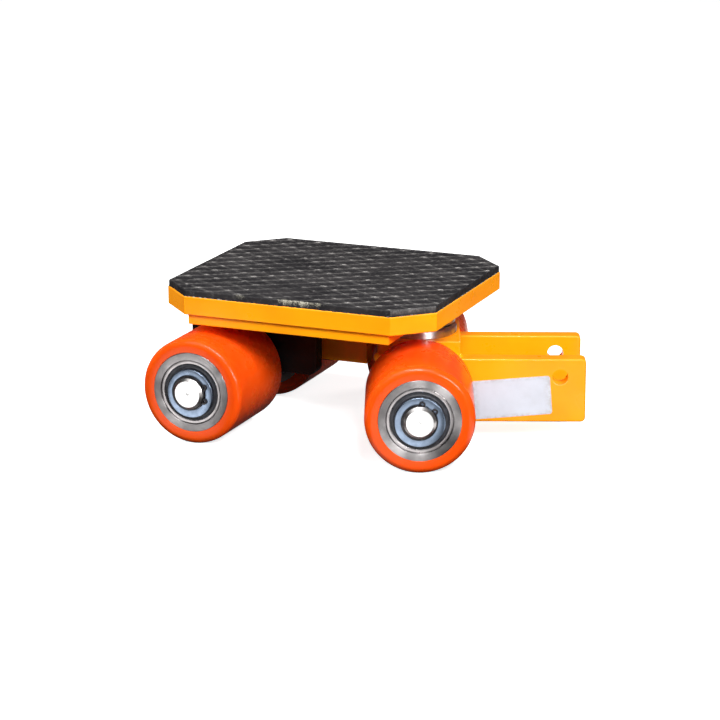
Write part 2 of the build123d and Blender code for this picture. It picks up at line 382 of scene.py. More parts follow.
def unit(vectors):
    """Each row of a table, divided by its length."""
    return vectors / np.linalg.norm(vectors, axis=1, keepdims=True)


def rounded(corners, radius, steps=5):
    """A closed outline whose corners become arcs. The arc's centre lies on the corner's bisector, at
    radius / sin(half the angle), and the arc turns from one tangent point to the other."""
    corners = np.asarray(corners, float)
    radius = np.broadcast_to(np.asarray(radius, float), len(corners))[:, None]
    before = unit(np.roll(corners, 1, axis=0) - corners)
    after = unit(np.roll(corners, -1, axis=0) - corners)
    half = np.arccos(np.clip((before * after).sum(axis=1, keepdims=True), -1, 1)) / 2
    centre = corners + unit(before + after) * radius / np.sin(half)
    start = corners + before * radius / np.tan(half) - centre
    end = corners + after * radius / np.tan(half) - centre
    turn = (np.pi - 2 * half)[:, None]
    share = np.linspace(0, 1, steps)[None, :, None]
    blend = np.sin((1 - share) * turn) * start[:, None] + np.sin(share * turn) * end[:, None]
    return (centre[:, None] + blend / np.sin(turn)).reshape(-1, 2)


def offset_outline(outline, distance):
    """A closed outline moved to its left by a distance, with mitred corners: each point moves along
    the sum of its two edge normals, divided by one plus their dot product."""
    edge = np.roll(outline, -1, axis=0) - outline
    normal = unit(np.stack([-edge[:, 1], edge[:, 0]], axis=1))
    previous = np.roll(normal, 1, axis=0)
    mitre = (normal + previous) / (1 + (normal * previous).sum(axis=1, keepdims=True))
    return outline + mitre * distance


# %% [markdown]
# A lathe turns a section about a line. The angle is one parameter of the grid and the walk along
# the section is the other, so the texture map knows which way the tool travelled, and the fine
# turning marks follow the ring.

# %% Lathe


def spokes(axis, angle):
    """A direction for each angle: cosine * first + sine * second, both square to the axis."""
    first = np.array([1.0, 0.0, 0.0]) if abs(axis[2]) > 0.5 else np.cross(axis, up)
    second = np.cross(axis, first)
    return np.cos(angle)[:, None] * first + np.sin(angle)[:, None] * second


def turned(line, section, steps=144, closed=True, **values):
    """Points (along, radius) of a section turned about a line: point = origin + along * axis
    + radius * spoke."""
    origin, axis = line
    spoke = spokes(axis, np.linspace(0, 2 * np.pi, steps, endpoint=False))
    along, radius = np.asarray(section, float).T
    points = origin + along[:, None, None] * axis + radius[:, None, None] * spoke[None]
    values = {key: np.broadcast_to(value, len(along))[:, None] for key, value in values.items()}
    return patch(points, wrap_rows=closed, wrap_columns=True, **values)


# %% [markdown]
# Two more helpers. One walks a path in even steps, for welds, glue and the rim of a sticker. The other
# gives soft random heights: moulded rubber, weld metal and sticky film are never quite even. The
# seed fixes the drawing of lots, so each run gives the same surface.

# %% Paths and random heights


def resample(path, count, closed=False):
    """Points at even steps along a path: the walked length at each corner is a running sum, and every
    coordinate is read off at evenly spaced lengths."""
    path = np.asarray(path, float)
    if closed:
        path = np.concatenate([path, path[:1]])
    walked = np.r_[0, np.cumsum(np.linalg.norm(np.diff(path, axis=0), axis=1))]
    wanted = np.linspace(0, walked[-1], count, endpoint=not closed)
    return np.stack([np.interp(wanted, walked, column) for column in path.T], axis=1)


def clouds(places, size, seed, waves=28):
    """A random height for each place, mostly from -1 to 1: a sum of sine waves whose directions and
    phases are drawn by lot, and whose lengths are near the given size."""
    lots = np.random.default_rng(seed)
    ways = lots.normal(size=(waves, places.shape[-1])) * 2 * np.pi / (size * np.sqrt(places.shape[-1]))
    phases = lots.uniform(0, 2 * np.pi, waves)
    return np.sin(places @ ways.T + phases).sum(axis=-1) * np.sqrt(2 / waves)


# %% [markdown]
# ## Finishes
#
# Each finish is one Principled shader. What is the same all over is a plain value on it, because
# plain values also reach programs that cannot read a graph of nodes.

# %% Helpers for finishes


def socket_of(shader, key):
    """The shader's input for a name written in small letters, such as base_color."""
    return shader.inputs[key.replace("_", " ").title().replace("Ior", "IOR")]


def new_finish(name, **sockets):
    """A material with one Principled shader, and the place of a point on the piece. Each value that is
    the same all over is set on the shader."""
    made = bpy.data.materials.new(name)
    made.use_nodes = True
    tree = made.node_tree
    shader = tree.nodes["Principled BSDF"]
    for key, value in sockets.items():
        socket_of(shader, key).default_value = value
    print("finish:", name)
    return made, tree, shader, add(tree, "TexCoord").outputs["Object"]


def connect(tree, shader, **sockets):
    """Links each output to the shader's input of that name."""
    for key, value in sockets.items():
        tree.links.new(value, socket_of(shader, key))


# %% [markdown]
# A finish is mostly clouds of noise. A band picks a range out of the clouds, and a mix lays one colour
# over another by it. A number that the piece carries for each point can pick the place as well.

# %% Clouds, bands and mixes


def attribute(tree, name):
    """A number that the piece carries for each of its points."""
    return add(tree, "Attribute", attribute_name=name).outputs["Fac"]


def noise(tree, place, scale, detail=3.0, rough=0.5, stretch=None):
    """Soft random clouds, with about scale of them to a metre."""
    if stretch is not None:
        place = add(tree, "Mapping", {"Vector": place, "Scale": stretch}).outputs[0]
    inputs = {"Vector": place, "Scale": scale, "Detail": detail, "Roughness": rough}
    return add(tree, "TexNoise", inputs).outputs["Fac"]


def band(tree, value, low, high, first=0.0, last=1.0):
    """Maps low to first and high to last, and clamps outside."""
    return add(tree, "MapRange", {0: value, 1: low, 2: high, 3: first, 4: last}).outputs[0]


def mix(tree, share, first, second):
    """Blends two colours. The node has sockets for several kinds of value, and those for colours are
    inputs 6 and 7 and output 2."""
    first, second = ((*c, 1) if isinstance(c, tuple) else c for c in (first, second))
    return add(tree, "Mix", {0: share, 6: first, 7: second}, data_type="RGBA").outputs[2]


def bump(tree, shader, height, distance, strength=1.0):
    """Raises the surface by a height from 0 to 1, at a distance in metres."""
    inputs = {"Height": height, "Distance": distance, "Strength": strength}
    connect(tree, shader, normal=add(tree, "Bump", inputs).outputs[0])


# %% [markdown]
# Gloss enamel over steel plate. Real paint is never one flat colour: it pools a little darker, its
# surface has a fine orange peel from the spray gun, and it is thin along edges, where knocks chip
# it down to dark primer. All edges are painted a little lighter, partly for the thin paint and partly
# as a painted highlight, and upper edges are painted pale as a painted highlight of the lamps on the
# rounded edge. The shader finds the edges by itself, so no piece needs a map of them.

# %% Yellow enamel
yellow = (1.0, 0.348, 0.0024)
amber = (0.96, 0.300, 0.0018)
# The lighter edge colour stands for thin paint and a painted highlight; the pale one below it is a
# painted highlight for upper edges.
thin_and_sheen_yellow = (1.0, 0.42, 0.018)
highlight_yellow = (1.0, 0.62, 0.24)
primer = (0.068, 0.045, 0.039)
edge_reach = 1.6 * mm


def near_edge(tree, reach):
    """How close a point is to an edge, and to an upper edge, from 0 to 1. The bevel node gives the
    normal that the surface would have with its edges rounded that wide. It parts from the true normal
    only near them, and it leans up at an upper edge."""
    soft = add(tree, "Bevel", {"Radius": reach}, samples=6).outputs[0]
    true = add(tree, "NewGeometry").outputs["Normal"]
    agree = add(tree, "VectorMath", {0: soft, 1: true}, operation="DOT_PRODUCT").outputs["Value"]
    edge, lean = band(tree, agree, 0.995, 0.80), add(tree, "SeparateXYZ", {0: soft}).outputs["Z"]
    # The second value is the mask of the enamel's painted highlight on upper edges.
    return edge, times(tree, edge, band(tree, lean, 0.15, 0.60))


def enamel(name, body, pooled, thin, wear_and_painted_light, chip_from, gloss, shine):
    """Sprayed gloss paint: slow clouds of colour, a fine orange peel, edges a little lighter for thin
    paint and as a painted highlight, a pale painted highlight on upper edges, and a few chips down to
    the primer where an edge and a random spot meet."""
    made, tree, shader, place = new_finish(
        name, specular_ior_level=shine, coat_weight=0.10, coat_roughness=0.08
    )
    edge, highlight_edge = near_edge(tree, edge_reach)
    colour = mix(tree, band(tree, noise(tree, place, 24.0, 4.0), 0.36, 0.66), body, pooled)
    # Edges get a lighter colour, for thin paint and as a painted highlight; upper edges get a pale
    # painted highlight.
    colour = mix(tree, times(tree, edge, 0.5), colour, thin)
    colour = mix(tree, times(tree, highlight_edge, 0.8), colour, wear_and_painted_light)
    spots = times(tree, edge, noise(tree, place, 450.0, 5.0, 0.65))
    chip = band(tree, spots, chip_from, chip_from + 0.02)
    colour = mix(tree, chip, colour, primer)
    rough = band(tree, noise(tree, place, 60.0), 0.3, 0.7, gloss, gloss + 0.12)
    connect(tree, shader, base_color=colour, roughness=rough)
    peel = times(tree, noise(tree, place, 700.0, 2.0), 0.30)
    skin = calc(tree, "SUBTRACT", peel, times(tree, chip, 0.6))
    bump(tree, shader, skin, 0.10 * mm)
    return made


never = 2.0
yellow_enamel = enamel("yellow_enamel", yellow, amber, thin_and_sheen_yellow, highlight_yellow, 0.66, 0.26, 0.26)
weld_enamel = enamel("weld_enamel", yellow, amber, yellow, yellow, never, 0.26, 0.26)
black, sooty = (0.006, 0.0052, 0.0052), (0.009, 0.0075, 0.0075)
# The black's lighter edge colour is thin paint and a painted highlight, and it serves as the painted
# highlight on upper edges too.
thin_and_sheen_black = (0.021, 0.018, 0.018)
black_enamel = enamel("black_enamel", black, sooty, thin_and_sheen_black, thin_and_sheen_black, never, 0.45, 0.12)

# %% [markdown]
# Polyurethane is cast round the steel core and then turned. It is a hard rubber with a satin gloss,
# and light goes a few millimetres into it, so its shadows stay warm. The running face, marked by an
# attribute, picks up fine dust and is duller than the flanks.

# %% Orange polyurethane
urethane_orange = (0.84, 0.080, 0.0033)
urethane_deep = (0.75, 0.064, 0.0024)
urethane_dust = (0.75, 0.128, 0.033)


def orange_urethane():
    """Cast polyurethane: marbled in two oranges, with dusty scuffs where the attribute running is 1."""
    made, tree, shader, place = new_finish(
        "orange_urethane", subsurface_weight=0.10, subsurface_scale=2.0 * mm, specular_ior_level=0.22
    )
    shader.inputs["Subsurface Radius"].default_value = (1.0, 0.22, 0.05)
    running = attribute(tree, "running")
    marbled = noise(tree, place, 30.0, 3.0)
    colour = mix(tree, band(tree, marbled, 0.35, 0.7), urethane_orange, urethane_deep)
    spots = band(tree, noise(tree, place, 130.0, 6.0, 0.7), 0.52, 0.74)
    scuff = times(tree, running, spots)
    colour = mix(tree, times(tree, scuff, 0.30), colour, urethane_dust)
    rough = band(tree, marbled, 0.3, 0.7, 0.17, 0.23)
    for cause, share in ((running, 0.08), (scuff, 0.10)):
        rough = calc(tree, "ADD", rough, times(tree, cause, share))
    connect(tree, shader, base_color=colour, roughness=rough)
    bump(tree, shader, noise(tree, place, 420.0, 3.0), 0.02 * mm)
    return made


urethane = orange_urethane()

# %% [markdown]
# The pad is cut from a sheet of black rubber with a moulded lozenge tread. Boots and machine feet
# polish the ridges grey, while dirt keeps the hollows black, and fine scratches lie over both. One
# family of ridges is greyed less than the other, a painted shade for the light that catches the other
# family more. The attribute called ridge is the height of the tread, and residue marks old glue that
# shows along the cut edge.

# %% Black rubber
rubber_black = (0.0095, 0.0088, 0.0102)
rubber_dusty = (0.023, 0.021, 0.022)
rubber_worn = (0.38, 0.36, 0.345)
old_glue = (0.54, 0.51, 0.405)


def black_rubber():
    """Moulded rubber: dusty black, grey where the attribute ridge is high, and pale crusts of glue."""
    made, tree, shader, place = new_finish("black_rubber", specular_ior_level=0.30)
    ridge = attribute(tree, "ridge")
    residue = attribute(tree, "residue")
    dust = noise(tree, place, 26.0, 5.0, 0.6)
    grit = noise(tree, place, 600.0, 4.0, 0.7)
    colour = mix(tree, band(tree, dust, 0.38, 0.68), rubber_black, rubber_dusty)
    scratched = band(tree, noise(tree, place, 300.0, 5.0, 0.7), 0.52, 0.70, 0.0, 0.10)
    colour = mix(tree, scratched, colour, rubber_worn)
    # The ridge attribute is lower on the first family of ridges, so their grey is a painted shade as
    # well as wear.
    lines = band(tree, ridge, 0.26, 0.58, 0.0, 0.22)
    knots = band(tree, ridge, 0.60, 0.92, 0.0, 0.80)
    worn = calc(tree, "ADD", lines, knots)
    wear_and_painted_light = times(tree, worn, band(tree, grit, 0.34, 0.60, 0.25, 1.0))
    patchy = band(tree, noise(tree, place, 95.0, 5.0, 0.65), 0.34, 0.58, 0.40, 1.05)
    colour = mix(tree, times(tree, wear_and_painted_light, patchy), colour, rubber_worn)
    flakes = band(tree, noise(tree, place, 900.0, 5.0, 0.75), 0.36, 0.62)
    crust = band(tree, times(tree, residue, flakes), 0.16, 0.55, 0.0, 0.80)
    colour = mix(tree, crust, colour, old_glue)
    polish = times(tree, wear_and_painted_light, 0.12)
    rough = calc(tree, "SUBTRACT", band(tree, dust, 0.3, 0.7, 0.50, 0.68), polish)
    connect(tree, shader, base_color=colour, roughness=rough)
    bump(tree, shader, grit, 0.10 * mm, 0.7)
    return made


rubber = black_rubber()

# %% [markdown]
# The core's end face is turned on a lathe. The tool leaves fine rings, and a face with fine rings
# spreads each reflection across them: that is the bow-tie that every turned face shows. The shader's
# anisotropy does it. The texture map's first direction runs round the ring, and a quarter turn makes
# the spread run across it. A bump that varies only across the ring adds the single grooves.

# %% Turned and polished steels


def metal(name, colour, stain, rough, rings=0.0, spots=90.0, anisotropic=0.0):
    """A bare metal: clouds of stain in its colour and polish, and fine tool marks as a bump."""
    made, tree, shader, place = new_finish(name, metallic=1.0, anisotropic=anisotropic)
    cloud = noise(tree, place, spots, 5.0, 0.62)
    tone = mix(tree, band(tree, cloud, 0.36, 0.70), colour, stain)
    polish = band(tree, cloud, 0.3, 0.7, rough * 0.85, rough * 1.15)
    connect(tree, shader, base_color=tone, roughness=polish)
    if anisotropic:
        shader.inputs["Anisotropic Rotation"].default_value = 0.25
        tangent = add(tree, "Tangent", direction_type="UV_MAP", uv_map="UVMap")
        connect(tree, shader, tangent=tangent.outputs[0])
    if rings:
        round_and_across = add(tree, "TexCoord").outputs["UV"]
        bump(tree, shader, noise(tree, round_and_across, 1.0, 6.0, 0.7, (3.0, 700.0, 1.0)), rings)
    else:
        bump(tree, shader, noise(tree, place, 900.0, 3.0), 0.02 * mm)
    return made


turned_steel = metal(
    "turned_steel", (0.34, 0.32, 0.32), (0.25, 0.235, 0.235), 0.38, 0.012 * mm, 120.0, 0.95
)
ground_steel = metal(
    "ground_steel", (0.42, 0.39, 0.39), (0.32, 0.30, 0.30), 0.30, 0.006 * mm, 120.0, 0.70
)
drawn_steel = metal("drawn_steel", (0.95, 0.94, 0.93), (0.86, 0.85, 0.84), 0.34, 0.006 * mm, 120.0)
bearing_steel = metal("bearing_steel", (0.62, 0.59, 0.57), (0.46, 0.43, 0.41), 0.16)
race_steel = metal(
    "race_steel", (0.72, 0.70, 0.70), (0.52, 0.50, 0.50), 0.40, 0.004 * mm, 160.0, 0.90
)
bright_bar = metal("bright_bar", (0.80, 0.79, 0.77), (0.66, 0.64, 0.62), 0.24)
zinc_plate = metal("zinc_plate", (0.24, 0.30, 0.40), (0.18, 0.23, 0.31), 0.31, spots=260.0)
pressed_steel = metal("pressed_steel", (0.50, 0.48, 0.46), (0.34, 0.32, 0.30), 0.34)
bronze = metal("bronze", (0.62, 0.42, 0.20), (0.45, 0.28, 0.12), 0.30)

# %% [markdown]
# Only the flat of an axle's faced end keeps the bright colour. The chamfer and the rest of the drawn
# bar are painted darker all round, a painted dark reflection. The attribute called faced marks the
# flat, and mixes the two colours.

# %% Darker sides of the axles, a painted dark reflection
dark_reflection_steel = (0.36, 0.35, 0.345)
tree = drawn_steel.node_tree
shader = tree.nodes["Principled BSDF"]
fresh = shader.inputs["Base Color"].links[0].from_socket
faced = attribute(tree, "faced")
connect(tree, shader, base_color=mix(tree, faced, dark_reflection_steel, fresh))
# Away from the flat of the end, the darker colour is a painted dark reflection.
print("drawn steel is fresh where faced, and oiled elsewhere")

# %% [markdown]
# Seals are black rubber, and retaining rings are spring steel that is blackened and oiled. Both are
# near black with a little dust, so one function makes both.

# %% Black seal rubber and blackened spring steel


def dark_finish(name, colour, dusty, rough, metallic, grain):
    """A near-black skin with a little dust, for seals and blackened springs."""
    made, tree, shader, place = new_finish(name, metallic=metallic)
    dust = noise(tree, place, 220.0, 5.0, 0.65)
    tone = mix(tree, band(tree, dust, 0.45, 0.75), colour, dusty)
    polish = band(tree, dust, 0.3, 0.7, rough * 0.85, rough * 1.2)
    connect(tree, shader, base_color=tone, roughness=polish)
    bump(tree, shader, noise(tree, place, grain, 3.0), 0.03 * mm)
    return made


seal_black = dark_finish("seal_black", (0.010, 0.010, 0.013), (0.037, 0.037, 0.045), 0.42, 0.0, 800.0)
spring_black = dark_finish("spring_black", (0.02, 0.02, 0.023), (0.07, 0.06, 0.06), 0.36, 0.7, 600.0)

# %% [markdown]
# The sticker on the near arm is a plain film: a satin white with a cool cast, greyer round its rim,
# where hands and dirt get at it.

# %% Blank film


def blank_film():
    """Satin film: faint smears all over, and grime where the attribute rim nears 1."""
    made, tree, shader, place = new_finish("blank_film", specular_ior_level=0.45)
    rim = attribute(tree, "rim")
    smear = noise(tree, place, 90.0, 5.0, 0.6)
    colour = mix(tree, band(tree, smear, 0.40, 0.72), (0.555, 0.579, 0.645), (0.518, 0.537, 0.593))
    smudges = band(tree, noise(tree, place, 320.0, 4.0), 0.38, 0.62)
    grime = times(tree, band(tree, rim, 0.80, 1.0), smudges)
    colour = mix(tree, times(tree, grime, 0.4), colour, (0.24, 0.18, 0.12))
    rough = band(tree, smear, 0.3, 0.7, 0.28, 0.42)
    connect(tree, shader, base_color=colour, roughness=rough)
    bump(tree, shader, noise(tree, place, 240.0, 3.0), 0.03 * mm)
    return made


film = blank_film()

# %% [markdown]
# The solids that already have the right shape keep it. Each takes its finish from its slot in the
# record, so one table serves all of them.

# %% Finishes for the CAD nodes
finish_of_slot = {
    "yellow_paint": yellow_enamel,
    "black_paint": black_enamel,
    "rubber_pad": rubber,
    "polyurethane": urethane,
    "turned_steel": turned_steel,
    "bearing_steel": bearing_steel,
    "black_seal": seal_black,
    "black_spring_steel": spring_black,
    "zinc_plate": zinc_plate,
    "bright_bar": bright_bar,
    "pressed_steel": pressed_steel,
    "bronze": bronze,
}
for node in frame["nodes"].values():
    for slot in node.material_slots:
        slot.material = finish_of_slot[slot.material.name.split(".")[0]]
print("finished nodes:", len(frame["nodes"]))

# %% [markdown]
# ## Rollers
#
# Each roller is a polyurethane tread on a steel core with a sealed ball bearing let into each end.
# All of it was made on a lathe, so each piece is one section and one turn. The tread's shoulder is an
# arc, which catches the bright line of a soft box.

# %% Sections
core_ease, seal_ease = 0.35 * mm, 0.12 * mm


def ring_section(start, end, inner, outer, inner_edge, outer_edge, steps=5):
    """Ring section with its own easing on the inner and on the outer edges."""
    corners = [(start, inner), (end, inner), (end, outer), (start, outer)]
    return rounded(corners, [inner_edge, inner_edge, outer_edge, outer_edge], steps)


def core_section(start, end, bore, outer, seat, seat_depth):
    """Tube section with a stepped bore: a bearing seat at each mouth, and eased edges."""
    half = [(start, outer), (start, seat), (start + seat_depth, seat), (start + seat_depth, bore)]
    other = [(start + end - along, radius) for along, radius in reversed(half)]
    return rounded(half + other, core_ease, 4)


def seal_section(start, end, inner, outer):
    """Section of a bearing seal, the same on both faces: a thin lip at the bore, a raised dam behind
    it, a shallow groove, and a rim that snaps into the outer ring."""
    middle, half = (start + end) / 2, (end - start) / 2
    steps = [(0.45, 0.0), (0.45, 0.10), (1.0, 0.20), (1.0, 0.48)]
    steps += [(0.55, 0.56), (0.55, 0.80), (1.0, 0.88), (1.0, 1.0)]
    height, across = np.array(steps).T
    near = np.c_[middle - half * height, inner + (outer - inner) * across]
    far = np.c_[middle + half * height, inner + (outer - inner) * across]
    return rounded(np.concatenate([near, far[::-1]]), seal_ease, 3)


def ring_spans(node, line, count):
    """Start and end of each of several equal rings of one node, in order along the line: the planes
    that its points lie in are sorted and shared out."""
    planes = np.unique(np.round((node_points(node) - line[0]) @ line[1], 6))
    return planes.reshape(count, -1)[:, [0, -1]]


# %% [markdown]
# The lip where the cast tread meets the steel is small, and the shoulder is large. The outer ring of a
# bearing is ground bright and has a rounded corner, so a thin dark line parts it from the core that
# it is pressed into. The seal sits a little back from the ring's face.

# %% Tread, core, bearing rings and seals
flank_lip, shoulder, shoulder_steps, running_depth = 0.5 * mm, 5.5 * mm, 10, 1.5 * mm
ring_eases = 0.8 * mm, 0.9 * mm
for axle, line in axle_lines.items():
    for side_name in ("right", "left"):
        body = f"{axle}_{side_name}_roller"
        start, end, inner, outer = ring_sizes(f"{body}_tread", line)
        section = ring_section(start, end, inner, outer, flank_lip, shoulder, shoulder_steps)
        running = np.clip(1 - (outer - section[:, 1]) / running_depth, 0, 1)
        tread = turned(line, section, running=running)
        make_piece(f"{body}_cast_tread", [tread], body, urethane, [f"{body}_tread"])

        rings, seals = f"{body}_bearing_outer_rings", f"{body}_bearing_seals"
        ring_ends = ring_spans(rings, line, 2)
        _, _, ring_inner, ring_outer = ring_sizes(rings, line)
        start, end, bore, outer = ring_sizes(f"{body}_core", line)
        section = core_section(start, end, bore, outer, ring_outer, ring_ends[0, 1] - start)
        core = turned(line, section)
        make_piece(f"{body}_turned_core", [core], body, turned_steel, [f"{body}_core"])

        sections = [ring_section(*ends, ring_inner, ring_outer, *ring_eases) for ends in ring_ends]
        ground = [turned(line, section) for section in sections]
        make_piece(f"{body}_ground_rings", ground, body, ground_steel, [rings])

        _, _, seal_inner, seal_outer = ring_sizes(seals, line)
        seal_ends = ring_spans(seals, line, 4)
        sections = [seal_section(*ends, seal_inner, seal_outer) for ends in seal_ends]
        pressed = [turned(line, section) for section in sections]
        make_piece(f"{body}_lipped_seals", pressed, body, seal_black, [seals])

# %% [markdown]
# ## Axles
#
# An axle is a bright bar with a groove near each end for a retaining ring. The end is faced on the
# lathe: it has a chamfer, faint rings, and the small cone where the centre held it. The washer behind
# the ring is loose, so its bore is a little wide and it hangs low by that play.

# %% Axles and washers
axle_chamfer, face_step = 2.0 * mm, 0.1 * mm
centre_radius, centre_depth = 1.3 * mm, 1.1 * mm
washer_play, washer_eases = 0.8 * mm, (0.2 * mm, 0.6 * mm)


def axle_section(end, radius, groove_start, groove_end, groove_radius):
    """Walk from one end's middle to the other's: centre cone, faced end, chamfer, groove, and then the
    same mirrored. It is open, because both ends lie on the line itself."""
    half = [
        (groove_start, radius),
        (groove_start, groove_radius),
        (groove_end, groove_radius),
        (groove_end, radius),
        (end - axle_chamfer, radius),
        (end, radius - axle_chamfer),
        (end, radius - axle_chamfer - face_step),
        (end, centre_radius),
        (end - centre_depth, 0.0),
    ]
    return [(-along, reach) for along, reach in reversed(half)] + half


for axle, line in axle_lines.items():
    body = "deck" if axle == "rear" else "bogie"
    _, end, _, radius = ring_sizes(f"{axle}_axle", line)
    groove_start, groove_end, groove_radius, _ = ring_sizes(f"{axle}_axle_circlips", line, 1)
    section = axle_section(end, radius, groove_start, groove_end, groove_radius)
    along, reach = np.array(section).T
    # faced marks the flat of the end; the chamfer and the sides get the painted dark reflection.
    faced = (np.abs(along) > end - 2 * centre_depth) & (reach < radius - axle_chamfer)
    bar = turned(line, section, closed=False, faced=faced.astype(float))
    node = f"{axle}_axle"
    make_piece(f"{axle}_faced_axle", [bar], body, drawn_steel, [node], sharp=25.0)

    washers = f"{axle}_axle_washers"
    _, _, bore, outer = ring_sizes(washers, line)
    bore, hung = bore + washer_play, (line[0] - washer_play * up, line[1])
    washer_ends = ring_spans(washers, line, 2)
    sections = [ring_section(*ends, bore, outer, *washer_eases) for ends in washer_ends]
    plated = [turned(hung, section) for section in sections]
    make_piece(f"{axle}_plated_washers", plated, body, zinc_plate, [washers])

# %% [markdown]
# A retaining ring is stamped from spring steel. It is wide opposite its mouth and narrow beside it, so
# that it bends evenly when pliers open it, and each end has an eye for the pliers. The band is a small
# rectangle that walks round the axle while its width changes. Each eye is a short turned tube.

# %% Retaining rings
band_wide, band_narrow = 3.0 * mm, 1.5 * mm
band_steps, eye_steps = 160, 40
eye_radius, eye_hole, eye_reach = 2.5 * mm, 1.05 * mm, 1.8 * mm
stamped_ease, eye_ease, tip_depth = 0.2 * mm, 0.15 * mm, 0.2 * mm


def mouth_of(node, line, side):
    """Angle of a ring's mouth and half the angle between its eyes, from the points that reach out
    farthest: the mouth is in their mean direction."""
    origin, axis = line
    offsets = node_points(node) - origin
    offsets = offsets[offsets @ axis * side > 0]
    flat = offsets @ spokes(axis, np.array([0.0, np.pi / 2])).T
    reach = np.linalg.norm(flat, axis=1)
    tips = flat[reach > reach.max() - tip_depth]
    mouth = np.arctan2(*tips.mean(axis=0)[::-1])
    swing = np.arctan2(tips[:, 1], tips[:, 0]) - mouth
    return mouth, np.abs((swing + np.pi) % (2 * np.pi) - np.pi).mean()


def retaining_ring(node, line, side):
    """Band: point = origin + along * axis + radius * spoke(angle), where the section's radius is scaled
    by width = narrow + (wide - narrow) * (1 - cos(angle from the mouth)) / 2. Then the two eyes."""
    origin, axis = line
    start, end, seat, _ = ring_sizes(node, line, side)
    mouth, half = mouth_of(node, line, side)
    swing = np.linspace(half, 2 * np.pi - half, band_steps)
    spoke = spokes(axis, mouth + swing)
    wide = band_narrow + (band_wide - band_narrow) * (1 - np.cos(swing)) / 2
    along, across = ring_section(start, end, 0.0, band_wide, stamped_ease, stamped_ease, 3).T
    radius = seat + across / band_wide * wide[:, None]
    points = origin + along[:, None] * axis + radius[..., None] * spoke[:, None]
    caps = [np.broadcast_to(points[k].mean(axis=0), points[k].shape)[None] for k in (0, -1)]
    made = [patch(np.concatenate([caps[0], points, caps[1]]), wrap_columns=True)]
    for k in (0, -1):
        eye = origin + (seat + eye_reach) * spoke[k], axis
        section = ring_section(start, end, eye_hole, eye_radius, eye_ease, stamped_ease)
        made.append(turned(eye, section, eye_steps))
    return made


for axle, line in axle_lines.items():
    body, node = "deck" if axle == "rear" else "bogie", f"{axle}_axle_circlips"
    clips = retaining_ring(node, line, -1) + retaining_ring(node, line, 1)
    make_piece(f"{axle}_retaining_rings", clips, body, spring_black, [node])

# %% [markdown]
# ## Thrust bearing
#
# The deck rests on the bogie through a ring of balls between two races. A race is a thick washer with
# a generous round corner on the balls' side and a groove for them, ground all over. The grinding marks
# run round its wall, so a lamp shows in it as one upright band. The groove is an arc a little wider
# than a ball.

# %% Races
race_round, race_ease, bore_ease = 2.2 * mm, 0.8 * mm, 0.5 * mm
groove_room, groove_steps, corner_steps = 1.04, 15, 8
balls_low, balls_high, _, _ = ring_sizes("thrust_balls", kingpin_line)
ball_height, ball_radius = (balls_low + balls_high) / 2, (balls_high - balls_low) / 2
ball_points = node_points("thrust_balls") - pivot
ball_circle = np.hypot(ball_points[:, 0], ball_points[:, 1]).mean()


def race_section(near, far, inner, outer):
    """Ring section whose near face, towards the balls, has a groove: along = ball height + radius *
    cos(turn) towards the race, and reach = ball circle + radius * sin(turn)."""
    corners = [(far, inner), (far, outer), (near, outer), (near, inner)]
    outline = rounded(corners, [bore_ease, race_ease, race_round, bore_ease], corner_steps)
    groove, towards = groove_room * ball_radius, np.sign(far - near)
    turn = np.arccos(np.abs(near - ball_height) / groove) * np.linspace(1, -1, groove_steps)
    arc = np.c_[ball_height + towards * groove * np.cos(turn), ball_circle + groove * np.sin(turn)]
    return np.insert(outline, 3 * corner_steps, arc, axis=0)


for place, body in (("lower", "bogie"), ("upper", "deck")):
    node = f"thrust_{place}_race"
    low, high, inner, outer = ring_sizes(node, kingpin_line)
    near, far = (high, low) if place == "lower" else (low, high)
    race = turned(kingpin_line, race_section(near, far, inner, outer))
    make_piece(f"ground_{place}_race", [race], body, race_steel, [node])
across = [round(float(2 * radius / mm), 1) for radius in (ball_radius, ball_circle)]
print("ball and ball circle, mm across:", across)

# %% [markdown]
# ## Rubber pad
#
# The tread is two families of slanting ridges that cross in lozenges. A point's place in a family is
# one number, x / length + y / width, and the ridges are where that number is whole. The height falls
# off from the ridge as a flat bell curve. Worn patches are lower. The knife that cut the sheet
# squeezed its edge, which left a plain narrow rim at full height.

# %% Lozenge tread
lozenge_length, lozenge_width = 25.6 * mm, 16.4 * mm
lozenge_shift = (8.35 * mm, 3.9 * mm)
ridge_half, tread_depth = 2.2 * mm, 1.2 * mm
# The first family of ridges is lower and less grey, a painted shade.
low_shaded_ridge, knot = 0.75, 0.32
pad_round, plain_rim = 1.0 * mm, 1.2 * mm
glue_stretches = ((12.0, 19.0, 1.0), (-39.0, 5.5, 0.40))
glue_reach = 1.6 * mm

pad_low, pad_high = np.array(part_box("deck_pad"))
pad_middle = (pad_low + pad_high) / 2
pad_points = node_points("deck_pad")
long_side = pad_points[pad_points[:, 1] > pad_high[1] - 0.01 * mm]
pad_cut = pad_high[0] - long_side[:, 0].max() - (2 - np.sqrt(2)) * pad_round
half_length, half_width = (pad_high - pad_low)[:2] / 2 - pad_round
straight = half_width - pad_cut


def lozenge_net(x, y):
    """Height of the tread from 0 to 1: the higher of two families of flat-topped ridges, and a knot
    where they cross. The ridges of the first family are a little lower, and so greyed less: a painted
    shade, because the light catches the other family more."""
    spacing = 1 / np.hypot(1 / lozenge_length, 1 / lozenge_width)
    ahead, left = (x - lozenge_shift[0]) / lozenge_length, (y - lozenge_shift[1]) / lozenge_width
    steps = np.stack([ahead + left, ahead - left])
    first, second = np.exp(-((np.abs(steps - np.round(steps)) * spacing / ridge_half) ** 4))
    return (1 - knot) * np.maximum(low_shaded_ridge * first, second) + knot * first * second


